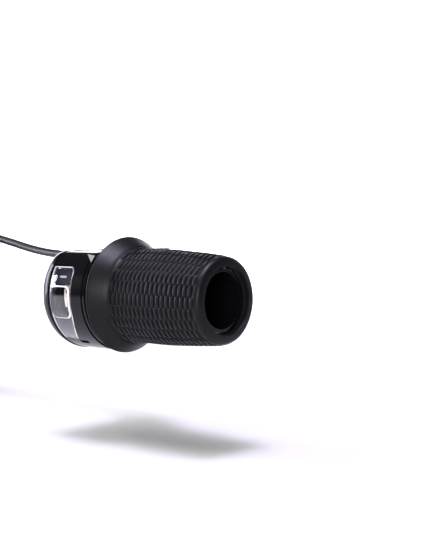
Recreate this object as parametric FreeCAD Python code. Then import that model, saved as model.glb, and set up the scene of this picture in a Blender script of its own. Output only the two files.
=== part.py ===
"""Bicycle twist shifter for the right end of a 22.2 mm handlebar, seven indexed positions.

Frame: +X runs along the bar towards its end, +Y points forward, +Z up. The origin is on the
bar's axis in the middle of the clamp. Millimetres. Angles round the bar are counted in
degrees from the rider's side (-Y) over the top (+Z).
"""
import FreeCAD, Part
import math
import os

V = FreeCAD.Vector
ALONG = V(1, 0, 0)
FORWARD = V(0, 1, 0)
UP = V(0, 0, 1)
ORIGIN = V(0, 0, 0)

# ---------------------------------------------------------------- driving sizes
# Bar, clamp and the fixed sleeve that the grip turns on.
BAR_R = 11.1
CLAMP_GAP = 0.1
CLAMP_R = BAR_R + CLAMP_GAP
CLAMP_HALF = 4.0
HUB_WALL = 3.4
HUB_R = CLAMP_R + HUB_WALL
SLEEVE_RELIEF = 0.25
SLEEVE_BORE_R = CLAMP_R + SLEEVE_RELIEF
SLEEVE_WALL = 1.15
SLEEVE_R = SLEEVE_BORE_R + SLEEVE_WALL

# Clamp screw across two ears under the bar.
CLAMP_SCREW_R = 2.0
CLAMP_HEAD_R = 3.5
CLAMP_HEAD_H = 4.0
CLAMP_SOCKET = (1.5, 2.5)
KEY_HOLE_R = 2.6
KEY_REACH = 30.0
SCREW_UNDER_BAR = 2.7
CLAMP_Z = -(BAR_R + SCREW_UNDER_BAR + CLAMP_SCREW_R)
EAR_Y = 6.0
EAR_WALL = 2.5
EAR_FOOT_Z = CLAMP_Z - CLAMP_SCREW_R - EAR_WALL
SLIT_HALF = 0.8
NUT_WIDE = 7.0
NUT_T = 3.2
SCREW_FIT = 0.1
HUB_RELIEF = 1.2
HUB_RELIEF_ARC = (-172.0, -8.0)
FREE_EDGE = 0.7

# Turning parts, each outside the one before.
TURN_GAP = 0.25
FACE_GAP = 0.1
FIT = 0.02
CORE_BORE_R = SLEEVE_R + TURN_GAP
CORE_WALL = 2.45
CORE_R = CORE_BORE_R + CORE_WALL
COVER_HOLE_R = CORE_R + 0.5
DRUM_R = CORE_R + 0.4
FLANGE_R = DRUM_R + 0.5
CABLE_R = 0.6
CABLE_FIT = 0.1
WIND_R = DRUM_R - 0.7
CABLE_PULL = 2.9
CLICKS = 6
CLICK_DEG = math.degrees(CABLE_PULL / WIND_R)
RING_T = 1.0
RING_R = DRUM_R + 2.1
RING_ARC = (-16.0, 66.5)

# Housing, as large as its clamp screw needs.
WALL = 1.8
CAVITY_ROOM = 0.463
CAVITY_R = math.hypot(EAR_Y + CLAMP_HEAD_H, CLAMP_Z - CLAMP_HEAD_R) + CAVITY_ROOM
HOUSING_R = CAVITY_R + WALL
TOP_ROOM = 0.5
HOUSING_TOP = FLANGE_R + TOP_ROOM + WALL
SHOULDER_R = 8.0
RIM_PROUD = 0.3
RIM_BEND_R = 10.0
RIM_BEND_ROOM = 0.7
RIM_SECTIONS = 5
RIM_ROUND = 0.6
BACK_WALL = 2.0
COVER_X0 = 0.8
COVER_X1 = 24.0
STEP_X = (COVER_X1 - 3.2, COVER_X1 - 1.5)
STEP_DROP = (0.45, 1.0)
CAP_ROUND = 1.1
END_WALL_X = COVER_X1 - WALL
LIP_LONG = 1.6
LIP_T = 0.95
LIP_FIT = 0.05
LIP_GAP_ARC = (-64.0, 46.0)

# Drum along the bar.
WASHER_T = 0.9
WASHER_FIT = 0.05
DRUM_X0 = CLAMP_HALF + WASHER_T + FACE_GAP
DRUM_X1 = END_WALL_X - 2.4
GROOVE_X = DRUM_X1 - 3.2
GROOVE_HALF = CABLE_R + 0.15
FLANGE_X0 = GROOVE_X - 2.2
RING_X = (DRUM_X0 + 0.3, FLANGE_X0 - 0.5)
DOG_DEPTH = 1.8
DOG_SPAN = 58.0
DOG_PITCH = 120.0
HEAD_AT = 45.0
HEAD_R = 2.0
HEAD_LONG = 4.0
HEAD_LIFT = WIND_R + 0.35
WRAP_END = 89.6

# Detent leaf, from its seats in the cover to its nose in the drum's notches.
NOTCH_R = 1.3
NOTCH_RISE = 0.4
NOTCH_LIFT = 0.8
DETENT_AT = -112.0
LEAF_T = 0.4
LEAF_X = (DRUM_X0 + 1.5, DRUM_X0 + 6.5)
LEAF_END_R = CAVITY_R - 1.6
LEAF_ENDS = (DETENT_AT - 25.0, DETENT_AT + 24.0)
LEAF_KNEE_DEG = 13.0
LEAF_NOSE_DEG = 5.0
LEAF_NOSE_RISE = 0.9
LEAF_BOW = 0.53
LEAF_SEAT_DEG = 4.0

# Cover screws from the inboard face into bosses beside the cavity's wall.
BOSS_R = 2.7
BOSS_ROOM = 0.1
POST_R = 3.4
POST_X1 = 3.0
COVER_SCREW_AT = (150.0, -153.0)
COVER_SCREW_R = 1.4
COVER_SCREW_X1 = 14.0
COVER_HEAD_R = 2.7
HEAD_POCKET_R = COVER_HEAD_R + 0.2
HEAD_SUNK = 0.3
HEAD_SEAT_X = -CLAMP_HALF + 2.3
CROSS_HALF = 1.7
CROSS_SLOT_HALF = 0.35
CROSS_DEEP = 1.0

# Window over the numbers: x along the bar, s round it from the window's middle.
LENS_MID = -10.5
LENS_PROUD = 0.25
LENS_FIT = 0.06
LENS_FLANGE = 0.7
LENS_FLANGE_T = 0.9
WINDOW_X = (COVER_X0 + 0.7, 14.5)
WINDOW_S = (-15.6, 15.9)
WINDOW_CORNER = 2.4
WINDOW_FOOT_X = 9.9
WINDOW_BULGE = (13.3, -8.6)
WINDOW_SIDE_S = -0.2
PAD_X = (WINDOW_X[0] + 0.7, 13.8)
PAD_S = (-5.3, 8.7)
PAD_PROUD = 0.7
PAD_ROUND = 3.0
PAD_STEP = 0.6
BEZEL_T = 1.0
BEZEL_ROOM = 0.2
BEZEL_R = CAVITY_R - BEZEL_ROOM - LENS_FLANGE_T
BEZEL_EDGE = 0.2
MARK_X = (5.0, 8.8)
MARK_ARC = (20.0, 22.5)
MARK_DEEP = 0.5
FIN_ARC = (37.0, 45.5)
FIN_X = (STEP_X[0] - 2.3, STEP_X[1] - 0.1)
FIN_HIGH = (0.9, 0.1)
FIN_SUNK = 1.5
NOTCH_X = (9.5, 14.6)
NOTCH_ARC = (-59.0, -53.5)
NOTCH_DEEP = 1.2

# Grip's rubber sleeve, its core and what keeps it on the fixed sleeve.
SEAM_GAP = 0.5
FLARE_R = HOUSING_R + 0.8
GRIP_R = CORE_R + 4.6
GRIP_TAPER = 1.8
GRIP_X0 = COVER_X1 + SEAM_GAP
GRIP_X1 = 80.0
FLARE_ROUND = 0.7
END_ROUND_X = GRIP_X1 - 3.0
# Shoulder as distance from the flare's face and share of its height over the grip.
SHOULDER_LINE = [(0.7, 1.0), (2.5, 0.786), (5.0, 0.469), (7.5, 0.163), (10.0, 0.02), (13.5, 0.0), (26.5, 0.0)]
# Taper as share of the way from the shoulder to the end, and share of the fall.
TAPER_LINE = [(0.0, 0.0), (0.308, 0.222), (0.615, 0.5), (0.846, 0.778), (1.0, 1.0)]
CORE_X1 = GRIP_X1 - 2.0
CORE_FLANGE_X0 = GRIP_X0 + 0.2
CORE_FLANGE_X1 = CORE_FLANGE_X0 + 1.8
CORE_FLANGE_R = FLARE_R - 3.0
POCKET_X0 = CORE_X1 - 4.0
POCKET_R = SLEEVE_R + 1.7
GRIP_MOUTH_R = SLEEVE_R + 1.1
SLEEVE_END_X = GRIP_X1 - 2.6
KEY_HIGH = 0.8
KEY_WIDE = 2.4
KEYS = 6
KEY_X = (GRIP_X0 + 6.4, GRIP_X1 - 10.0)
RIB_X = (GRIP_X0 + 8.5, END_ROUND_X - 0.8)
RIB_PITCH = 2.4
RIB_WIDE = 1.5
RIB_HIGH = 0.6
RIB_ROWS = 24
RIB_SPAN = 13.2
RIB_MARGIN = 1.0
SNAP_X = (POCKET_X0 + 0.95, POCKET_X0 + 1.95)
SNAP_HIGH = 1.2
SNAP_DEEP = 0.65
SNAP_GAP_HALF = 2.2

# Forward nose that turns the cable inboard, its hatch, and the adjuster in its face.
NOSE_Y = HOUSING_R + 4.5
CABLE_Z = WIND_R
BEND_R = 9.0
NOSE_HALF = 4.0
NOSE_TOP = CABLE_Z + NOSE_HALF
NOSE_X1 = GROOVE_X + 3.9
NOSE_Y0 = NOSE_Y - 15.5
NOSE_ROUND = 2.5
GUIDE_R = 1.6
GUIDE_BORE_R = 0.8
GUIDE_Y0 = NOSE_Y - 11.5
HATCH_X = (2.5, GROOVE_X + 0.4)
HATCH_Y = (NOSE_Y - 11.0, NOSE_Y + 3.0)
HATCH_T = 0.8
HATCH_FIT = 0.1
HATCH_ROUND = 1.2
HATCH_SCREW_R = 1.0
HATCH_SCREW_LONG = 7.5
HATCH_HEAD = (1.9, 1.1)
HATCH_SCREW = (HATCH_X[0] + 2.5, HATCH_Y[0] + 2.7)
INSERT_R = 3.0
INSERT_X1 = GROOVE_X - BEND_R - 0.9
SHANK_R = 2.4
KNOB_R = 4.6
KNOB_X = (-14.0, -1.5)
KNOB_EDGE = 0.5
FLUTES = 12
FLUTE_R = 0.7
FLUTE_OUT = 0.25
FLUTE_X0 = KNOB_X[0] + 2.0
SOCKET_X = KNOB_X[0] + 8.5
SEAL_R = 0.65

# Casing and its ferrules.
CASING_R = 2.0
FERRULE_R = CASING_R + 0.45
SOCKET_R = FERRULE_R + 0.1
CASING_X0 = SOCKET_X - 1.5
EXIT_X = KNOB_X[0] - 1.5
COLLAR_LONG = 1.3
COLLAR_PROUD = 0.7
WIRE_WAY = 0.3

# Route of the cable casing from the adjuster to its coil, then the coil's own sizes.
CASING_ROUTE = [
    V(CASING_X0, NOSE_Y, CABLE_Z),
    V(-27.0, NOSE_Y, CABLE_Z),
    V(-48.0, 29.0, 14.2),
    V(-69.0, 29.7, 15.9),
    V(-90.0, 30.4, 20.0),
    V(-112.0, 31.2, 23.6),
    V(-132.5, 31.5, 25.0),
]
COIL_OUTER_R = 25.0
COIL_AT = CASING_ROUTE[-1].sub(V(0, 0, COIL_OUTER_R))
COIL_TURNS = 4
COIL_INNER_R = COIL_OUTER_R - 2 * CASING_R
COIL_DEEP = (COIL_TURNS + 1) * 2 * CASING_R
TAIL_Y = COIL_AT.y + CASING_R + FERRULE_R + 0.05
TAIL_Z = (6.0, -10.0)
END_FERRULE_Z = (TAIL_Z[1] + 8.0, TAIL_Z[1] - 3.0)
WIRE_TAIL_LONG = 12.0
WIRE_END_Z = END_FERRULE_Z[1] - WIRE_TAIL_LONG
CRIMP_R = 2 * CABLE_R
CRIMP_LONG = 8.0
CRIMP_END = 1.0
TIE_WIDE = 3.6
TIE_T = 1.0
TIE_FIT = 0.1
TIE_AT = -55.0
LOCK_OUT = 1.8
LOCK_HALF = 2.6
LOCK_Y = (9.0, 4.0)


# ---------------------------------------------------------------- helpers
def at_angle(x, radius, degrees):
    """Point at a radius and an angle counted from the rider's side over the top."""
    turn = math.radians(degrees)
    return V(x, -radius * math.cos(turn), radius * math.sin(turn))


def rod(x0, x1, radius, y=0.0, z=0.0):
    return Part.makeCylinder(radius, x1 - x0, V(x0, y, z), ALONG)


def tube(x0, x1, outer, inner, y=0.0, z=0.0):
    return rod(x0, x1, outer, y, z).cut(rod(x0 - 1, x1 + 1, inner, y, z))


def block(x0, x1, y0, y1, z0, z1):
    return Part.makeBox(x1 - x0, y1 - y0, z1 - z0, V(x0, y0, z0))


def sector(x0, x1, inner, outer, start, end):
    """Part of a ring between two angles."""
    corners = [at_angle(x0, inner, end), at_angle(x1, inner, end),
               at_angle(x1, outer, end), at_angle(x0, outer, end)]
    face = Part.Face(Part.makePolygon(corners + corners[:1]))
    return face.revolve(ORIGIN, ALONG, end - start)


def fuse_all(solids):
    joined = solids[0]
    if len(solids) > 1:
        joined = joined.multiFuse(solids[1:])
    return joined.removeSplitter()


def cut_all(solid, tools):
    for tool in tools:
        solid = solid.cut(tool)
    return solid


def edges_where(solid, test):
    return [edge for edge in solid.Edges if test(edge)]


def export(name, shape):
    if shape.ShapeType != "Solid":
        shape = max(shape.Solids, key=lambda solid: solid.Volume) if len(shape.Solids) == 1 else shape
    shape.exportStep("parts/" + name + ".step")
    print(name, "solids", len(shape.Solids), "valid", shape.isValid(), "volume", round(shape.Volume, 1))


def rounded_path(points):
    """Straight runs joined by tangent arcs, each arc as large as its two runs allow."""
    edges = []
    radii = []
    start = points[0]
    for before, corner, after in zip(points, points[1:], points[2:]):
        back = before.sub(corner)
        ahead = after.sub(corner)
        turn = math.pi - back.getAngle(ahead)
        reach = 0.45 * min(back.Length, ahead.Length)
        radii.append(reach / math.tan(turn / 2))
        back.normalize()
        ahead.normalize()
        arc_start = corner.add(back.multiply(reach))
        arc_end = corner.add(ahead.multiply(reach))
        middle = arc_start.add(arc_end).multiply(0.5)
        inward = middle.sub(corner)
        rise = inward.Length - radii[-1] * (1 / math.cos(turn / 2) - 1)
        arc_mid = middle.sub(inward.normalize().multiply(rise))
        edges.append(Part.makeLine(start, arc_start))
        edges.append(Part.Arc(arc_start, arc_mid, arc_end).toShape())
        start = arc_end
    edges.append(Part.makeLine(start, points[-1]))
    return Part.Wire(edges), radii


def swept(points, radius, label):
    path, radii = rounded_path(points)
    heading = points[1].sub(points[0])
    section = Part.Wire(Part.makeCircle(radius, points[0], heading))
    solid = path.makePipeShell([section], True, True)
    print(label, "radii", [round(value, 1) for value in radii])
    expected = math.pi * radius ** 2 * path.Length
    print(label, "volume", round(solid.Volume, 1), "expected", round(expected, 1))
    return solid


# ---------------------------------------------------------------- housing outline
def housing_form(x0, x1, inset):
    """Round body with a flattened top and soft shoulders, set in by the given amount."""
    top = HOUSING_TOP - inset
    radius = HOUSING_R - inset
    form = rod(x0, x1, radius).common(block(x0, x1, -radius - 1, radius + 1, -radius - 1, top))
    corners = edges_where(form, lambda edge: abs(edge.CenterOfMass.z - top) < 1e-6
                          and abs(edge.CenterOfMass.x - (x0 + x1) / 2) < 1e-6
                          and abs(edge.CenterOfMass.y) > 1.0)
    return form.makeFillet(SHOULDER_R - inset, corners)


def screw_places():
    return [at_angle(0, CAVITY_R - BOSS_R - BOSS_ROOM, degrees) for degrees in COVER_SCREW_AT]


def across(radius, y0, y1):
    """Rod from back to front on the clamp screw's axis."""
    return Part.makeCylinder(radius, y1 - y0, V(0, y0, CLAMP_Z), FORWARD)


def rim_form():
    """Rim that bends slowly down to the back wall, in sections along the bar."""
    top_x = COVER_X0 + RIM_BEND_ROOM
    sections = []
    for step in range(RIM_SECTIONS):
        x = -CLAMP_HALF + (COVER_X0 + CLAMP_HALF) * step / (RIM_SECTIONS - 1)
        fall = RIM_BEND_R - math.sqrt(RIM_BEND_R ** 2 - (top_x - x) ** 2)
        slab = housing_form(x, x + 1, fall - RIM_PROUD)
        sections += [face.OuterWire for face in slab.Faces if face.BoundBox.XMax < x + 1e-6]
    rim = Part.makeLoft(sections, True, False)
    inboard = edges_where(rim, lambda edge: edge.BoundBox.XMax < -CLAMP_HALF + 1e-3)
    return rim.makeFillet(RIM_ROUND, inboard)


def back_wall():
    """Rounded rim with its back wall, the lip inside the cover, and posts for the cover screws."""
    rim = rim_form()
    inner_x = -CLAMP_HALF + BACK_WALL
    rim = rim.cut(housing_form(inner_x, COVER_X0 + 1, WALL))
    lip = housing_form(inner_x, COVER_X0 + LIP_LONG, WALL + LIP_FIT)
    lip = lip.cut(housing_form(-CLAMP_HALF, COVER_X0 + LIP_LONG + 1, WALL + LIP_FIT + LIP_T))
    lip = lip.cut(sector(COVER_X0, COVER_X0 + 2 * LIP_LONG, CAVITY_R - 3, CAVITY_R + 3, *LIP_GAP_ARC))
    inside = housing_form(-CLAMP_HALF, POST_X1 + 1, WALL + LIP_FIT)
    posts = [rod(inner_x - BACK_WALL / 2, POST_X1, POST_R, place.y, place.z).common(inside)
             for place in screw_places()]
    return fuse_all([rim, lip] + posts)


def housing_base():
    """Back wall and rounded rim, split clamp, and the long sleeve that the grip turns on."""
    inboard = -CLAMP_HALF - 1
    inner_x = -CLAMP_HALF + BACK_WALL + 1
    relief = sector(inboard, inner_x, HUB_R, HUB_R + HUB_RELIEF, *HUB_RELIEF_ARC)
    gap_y = EAR_Y + HUB_RELIEF
    ear_gap = block(inboard, inner_x, -gap_y, gap_y, EAR_FOOT_Z - HUB_RELIEF, -CLAMP_R)
    wall = cut_all(back_wall(), [relief, ear_gap, rod(inboard, CLAMP_HALF + 1, CLAMP_R + HUB_WALL / 2)])
    hub = rod(-CLAMP_HALF, CLAMP_HALF, HUB_R)
    ears = block(-CLAMP_HALF, CLAMP_HALF, -EAR_Y, EAR_Y, EAR_FOOT_Z, -CLAMP_R)
    sleeve = rod(CLAMP_HALF - 1, SLEEVE_END_X, SLEEVE_R)
    base = fuse_all([wall, hub, ears, sleeve])
    base = base.cut(rod(inboard, CLAMP_HALF, CLAMP_R))
    base = base.cut(rod(CLAMP_HALF, SLEEVE_END_X + 1, SLEEVE_BORE_R))
    slit = block(inboard, CLAMP_HALF + 1, -SLIT_HALF, SLIT_HALF, EAR_FOOT_Z - 1, -BAR_R + 1)
    free_edge = sector(CLAMP_HALF, CLAMP_HALF + FREE_EDGE, SLEEVE_BORE_R - 1, HUB_R + 1, *HUB_RELIEF_ARC)
    bolt = across(CLAMP_SCREW_R + SCREW_FIT, -2 * EAR_Y, 2 * EAR_Y)
    head_seat = across(CLAMP_HEAD_R + SCREW_FIT, EAR_Y, EAR_Y + CLAMP_HEAD_H + 1)
    snap_bottom = SLEEVE_R - SNAP_DEEP - WASHER_FIT
    snap_groove = tube(SNAP_X[0] - WASHER_FIT, SNAP_X[1] + WASHER_FIT, SLEEVE_R + 1, snap_bottom)
    base = cut_all(base, [slit, free_edge, bolt, clamp_nut_block(SCREW_FIT), head_seat, key_way(), snap_groove])
    for place in screw_places():
        base = base.cut(rod(inboard, HEAD_SEAT_X, HEAD_POCKET_R, place.y, place.z))
        base = base.cut(rod(inboard, POST_X1 + 1, COVER_SCREW_R + SCREW_FIT, place.y, place.z))
    return base.removeSplitter()


def key_way():
    """Hole through which the clamp screw's key reaches it from the front."""
    return across(KEY_HOLE_R, EAR_Y + CLAMP_HEAD_H, KEY_REACH)


def window_wire(inset):
    """Outline of the window on a plane across its middle: x along the bar, s round it."""
    left, right = WINDOW_X[0] + inset, WINDOW_X[1] - inset
    low, high = WINDOW_S[0] + inset, WINDOW_S[1] - inset
    corner = WINDOW_CORNER - 0.4 * inset
    foot_x = WINDOW_FOOT_X - inset

    def spot(x, s):
        return at_angle(x, HOUSING_R / 2, LENS_MID).add(tangent_step(s))

    bulge = Part.Arc(spot(foot_x, low), spot(WINDOW_BULGE[0] - inset, WINDOW_BULGE[1]),
                     spot(right, WINDOW_SIDE_S)).toShape()
    upright = Part.makeLine(spot(right, WINDOW_SIDE_S), spot(right, high - corner))
    slope = corner * (1 - math.sqrt(0.5))
    round_corner = Part.Arc(spot(right, high - corner), spot(right - slope, high - slope),
                            spot(right - corner, high)).toShape()
    top = Part.makeLine(spot(right - corner, high), spot(left, high))
    side = Part.makeLine(spot(left, high), spot(left, low))
    foot = Part.makeLine(spot(left, low), spot(foot_x, low))
    return Part.Wire([bulge, upright, round_corner, top, side, foot])


def tangent_step(s):
    turn = math.radians(LENS_MID)
    return V(0, s * math.sin(turn), s * math.cos(turn))


def window_form(inset, inner, outer):
    """The window's outline pushed outwards and kept between two radii."""
    prism = Part.Face(window_wire(inset)).extrude(at_angle(0, HOUSING_R * 0.7, LENS_MID))
    return prism.common(tube(COVER_X0 - 1, STEP_X[0], outer, inner))


def pad_form(inset, inner, outer):
    """Rounded rectangle over the numbers, kept between two radii."""
    x0, x1 = PAD_X[0] + inset, PAD_X[1] - inset
    s0, s1 = PAD_S[0] + inset, PAD_S[1] - inset
    start = at_angle(0, HOUSING_R / 2, LENS_MID)
    corners = [start.add(tangent_step(s)).add(V(x, 0, 0))
               for x, s in ((x0, s0), (x1, s0), (x1, s1), (x0, s1))]
    face = Part.Face(Part.makePolygon(corners + corners[:1]))
    reach = at_angle(0, HOUSING_R * 0.7, LENS_MID)
    prism = face.extrude(reach)
    uprights = edges_where(prism, lambda edge: abs(edge.Length - reach.Length) < 1e-6)
    prism = prism.makeFillet(PAD_ROUND - inset, uprights)
    return prism.common(tube(COVER_X0 - 1, STEP_X[0], outer, inner))


def window_lens():
    """Clear window with a flange behind the cover and a thick magnifier over the numbers."""
    seat = CAVITY_R - LIP_FIT
    plate = window_form(LENS_FIT, seat - LIP_FIT, HOUSING_R + LENS_PROUD)
    flange = window_form(-LENS_FLANGE, seat - LENS_FLANGE_T, seat)
    pad = pad_form(0, seat - LENS_FLANGE_T / 2, HOUSING_R + PAD_PROUD)
    magnifier = pad_form(PAD_STEP, RING_R + 0.4, HOUSING_R)
    return fuse_all([plate, flange, pad, magnifier])


def indicator_bezel():
    """Dark mask behind the window, open over the numbers."""
    mask = window_form(-LENS_FLANGE + BEZEL_EDGE, BEZEL_R - BEZEL_T, BEZEL_R)
    mask = mask.cut(pad_form(PAD_STEP - 0.1, RING_R - 1, BEZEL_R + 1))
    return mask.cut(sector(MARK_X[0], MARK_X[1], BEZEL_R - MARK_DEEP, BEZEL_R + 1, *MARK_ARC))


def index_mark():
    return sector(MARK_X[0], MARK_X[1], BEZEL_R - MARK_DEEP, BEZEL_R + FIT, *MARK_ARC)


def nose_block():
    """Forward lug that turns the cable inboard."""
    lug = block(0, NOSE_X1, NOSE_Y0, NOSE_Y + NOSE_HALF, CABLE_Z - NOSE_HALF, NOSE_TOP)
    outer = edges_where(lug, lambda edge: edge.CenterOfMass.y > NOSE_Y
                        and abs(edge.CenterOfMass.x) > 1.0)
    return lug.makeFillet(NOSE_ROUND, outer)


def cable_path(start_y, end_x):
    """Straight forward off the drum, round a quarter turn, then inboard along the bar."""
    bend_x = GROOVE_X - BEND_R
    bend_y = NOSE_Y - BEND_R
    slope = BEND_R * math.sqrt(0.5)
    leave = Part.makeLine(V(GROOVE_X, start_y, CABLE_Z), V(GROOVE_X, bend_y, CABLE_Z))
    bend = Part.Arc(V(GROOVE_X, bend_y, CABLE_Z), V(bend_x + slope, bend_y + slope, CABLE_Z),
                    V(bend_x, NOSE_Y, CABLE_Z)).toShape()
    inboard = Part.makeLine(V(bend_x, NOSE_Y, CABLE_Z), V(end_x, NOSE_Y, CABLE_Z))
    return Part.Wire([leave, bend, inboard])


def along_cable(start_y, end_x, radius):
    section = Part.Wire(Part.makeCircle(radius, V(GROOVE_X, start_y, CABLE_Z), FORWARD))
    return cable_path(start_y, end_x).makePipeShell([section], True, True)


def fin():
    """Small wedge on the shoulder that falls away towards the grip."""
    spots = [(FIN_X[0], FIN_ARC[1], FIN_HIGH[0]), (FIN_X[1], FIN_ARC[1], FIN_HIGH[1]),
             (FIN_X[1], FIN_ARC[0], FIN_HIGH[1])]
    foot = [at_angle(x, HOUSING_R - FIN_SUNK, degrees) for x, degrees, high in spots]
    crown = [at_angle(x, HOUSING_R + high, degrees) for x, degrees, high in spots]
    return Part.makeLoft([Part.makePolygon(foot + foot[:1]), Part.makePolygon(crown + crown[:1])], True, True)


def housing_cover():
    """Outer shell with its window, the cable's nose, screw bosses and the detent's seats."""
    shell = fuse_all([housing_form(COVER_X0, STEP_X[0], 0), nose_block(), fin(),
                      housing_form(STEP_X[0], STEP_X[1], STEP_DROP[0]), end_cap()])
    shell = shell.cut(housing_form(COVER_X0 - 1, END_WALL_X, WALL))
    shell = shell.cut(rod(-1, COVER_X0, HOUSING_R + RIM_PROUD + FIT))
    inner = [shell]
    for place in screw_places():
        inner.append(rod(POST_X1 + FACE_GAP, END_WALL_X + WALL / 3, BOSS_R, place.y, place.z))
    for degrees in LEAF_ENDS:
        inner.append(sector(LEAF_X[0] - 1, LEAF_X[1] + 1, LEAF_END_R + LEAF_T / 2, CAVITY_R + WALL / 4,
                            degrees - LEAF_SEAT_DEG, degrees + LEAF_SEAT_DEG))
    shell = fuse_all(inner)
    shell = shell.cut(rod(END_WALL_X - 1, COVER_X1 + 1, COVER_HOLE_R))
    shell = shell.cut(window_form(0, CAVITY_R - WALL, HOUSING_R + 2))
    shell = shell.cut(sector(NOTCH_X[0], NOTCH_X[1], HOUSING_R - NOTCH_DEEP, HOUSING_R + 1, *NOTCH_ARC))
    shell = shell.cut(along_cable(NOSE_Y0 - 1, 0.0, GUIDE_R + FIT))
    shell = shell.cut(rod(-1, INSERT_X1, INSERT_R, NOSE_Y, CABLE_Z))
    shell = shell.cut(block(HATCH_X[0], HATCH_X[1], HATCH_Y[0], HATCH_Y[1], NOSE_TOP - HATCH_T, NOSE_TOP + 1))
    shell = shell.cut(over_hatch(HATCH_SCREW_R, NOSE_TOP - HATCH_SCREW_LONG - HATCH_FIT, NOSE_TOP))
    shell = shell.cut(key_way())
    for place in screw_places():
        shell = shell.cut(rod(POST_X1 - 1, COVER_SCREW_X1 + 2, COVER_SCREW_R, place.y, place.z))
    return shell.removeSplitter()


def end_cap():
    cap = housing_form(STEP_X[1], COVER_X1, STEP_DROP[1])
    rim = edges_where(cap, lambda edge: edge.BoundBox.XMin > COVER_X1 - 1e-6)
    return cap.makeFillet(CAP_ROUND, rim)


def cover_screw(place):
    """Pan head screw from the inboard face into the cover's boss."""
    top = -CLAMP_HALF + HEAD_SUNK
    head = rod(top, HEAD_SEAT_X, COVER_HEAD_R, place.y, place.z)
    shank = rod(HEAD_SEAT_X, COVER_SCREW_X1, COVER_SCREW_R, place.y, place.z)
    bar = block(top - 1, top + CROSS_DEEP, place.y - CROSS_HALF, place.y + CROSS_HALF,
                place.z - CROSS_SLOT_HALF, place.z + CROSS_SLOT_HALF)
    slot = block(top - 1, top + CROSS_DEEP, place.y - CROSS_SLOT_HALF, place.y + CROSS_SLOT_HALF,
                 place.z - CROSS_HALF, place.z + CROSS_HALF)
    return cut_all(fuse_all([head, shank]), [bar, slot])


def clamp_screw():
    """Socket cap screw across the clamp's ears."""
    top_y = EAR_Y + CLAMP_HEAD_H
    reach = CLAMP_SOCKET[0] / math.cos(math.radians(30))
    turns = [math.radians(60 * step + 30) for step in range(7)]
    corners = [V(reach * math.cos(turn), top_y + 1, CLAMP_Z + reach * math.sin(turn)) for turn in turns]
    socket = Part.Face(Part.makePolygon(corners)).extrude(V(0, -CLAMP_SOCKET[1] - 1, 0))
    screw = fuse_all([across(CLAMP_SCREW_R, -EAR_Y + 0.5, EAR_Y), across(CLAMP_HEAD_R, EAR_Y, top_y)])
    return screw.cut(socket)


def clamp_nut_block(room):
    half = NUT_WIDE / 2 + room
    return block(-half, half, -EAR_Y - 0.01, -EAR_Y + NUT_T + room, CLAMP_Z - half, CLAMP_Z + half)


def clamp_nut():
    return clamp_nut_block(0).cut(across(CLAMP_SCREW_R, -2 * EAR_Y, 2 * EAR_Y))


# ---------------------------------------------------------------- indexing
def leaf_points():
    nose_r = DRUM_R + NOTCH_RISE - LEAF_T / 2
    knee_r = nose_r + LEAF_BOW * (LEAF_END_R - nose_r)
    side_r = nose_r + LEAF_NOSE_RISE
    return [
        (LEAF_ENDS[0], LEAF_END_R),
        (DETENT_AT - LEAF_KNEE_DEG, knee_r),
        (DETENT_AT - LEAF_NOSE_DEG, side_r),
        (DETENT_AT, nose_r),
        (DETENT_AT + LEAF_NOSE_DEG, side_r),
        (DETENT_AT + LEAF_KNEE_DEG, knee_r),
        (LEAF_ENDS[1], LEAF_END_R),
    ]


def detent_spring():
    """Bent leaf whose nose drops into the drum's notches."""
    spots = [at_angle(LEAF_X[0], radius, degrees) for degrees, radius in leaf_points()]
    width = LEAF_X[1] - LEAF_X[0]
    pieces = []
    for first, second in zip(spots, spots[1:]):
        run = second.sub(first)
        side = run.cross(ALONG).normalize().multiply(LEAF_T / 2)
        corners = [first.add(side), second.add(side), second.sub(side), first.sub(side)]
        pieces.append(Part.Face(Part.makePolygon(corners + corners[:1])).extrude(V(width, 0, 0)))
    for spot in spots[1:-1]:
        pieces.append(Part.makeCylinder(LEAF_T / 2, width, spot, ALONG))
    return fuse_all(pieces)


def dog(start):
    return sector(DRUM_X1 - 0.01, DRUM_X1 + DOG_DEPTH, CORE_BORE_R, CORE_R, start, start + DOG_SPAN)


def dog_starts():
    return [DOG_PITCH * step for step in range(round(360 / DOG_PITCH))]


def along_drum(degrees):
    """Direction round the drum at an angle, the way that the angle grows."""
    turn = math.radians(degrees)
    return V(0, math.sin(turn), math.cos(turn))


def cable_drum():
    """Winding drum with detent notches, the numbers' seat, a cable groove and drive dogs."""
    drum = rod(DRUM_X0, DRUM_X1, DRUM_R)
    flange = rod(FLANGE_X0, DRUM_X1, FLANGE_R)
    seat = sector(RING_X[0], FLANGE_X0, CORE_BORE_R + 1, RING_R - RING_T, *RING_ARC)
    dogs = [dog(start) for start in dog_starts()]
    drum = fuse_all([drum, flange, seat] + dogs)
    drum = drum.cut(rod(DRUM_X0 - 1, DRUM_X1 + 5, CORE_BORE_R))
    groove_r = WIND_R - CABLE_R - CABLE_FIT
    drum = drum.cut(tube(GROOVE_X - GROOVE_HALF, GROOVE_X + GROOVE_HALF, FLANGE_R + 2, groove_r))
    for click in range(CLICKS + 1):
        centre = at_angle(LEAF_X[0] - 0.5, DRUM_R + NOTCH_LIFT, DETENT_AT + click * CLICK_DEG)
        drum = drum.cut(Part.makeCylinder(NOTCH_R, LEAF_X[1] - LEAF_X[0] + 1, centre, ALONG))
    half_x = HEAD_R + CABLE_FIT
    half_y = HEAD_LONG / 2 + CABLE_FIT
    pocket = block(-half_x, half_x, -half_y, half_y, HEAD_LIFT - half_x, HEAD_LIFT + 2 * HEAD_R)
    pocket.rotate(ORIGIN, ALONG, 90.0 - HEAD_AT)
    pocket.translate(V(GROOVE_X, 0, 0))
    return drum.cut(pocket).removeSplitter()


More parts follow.
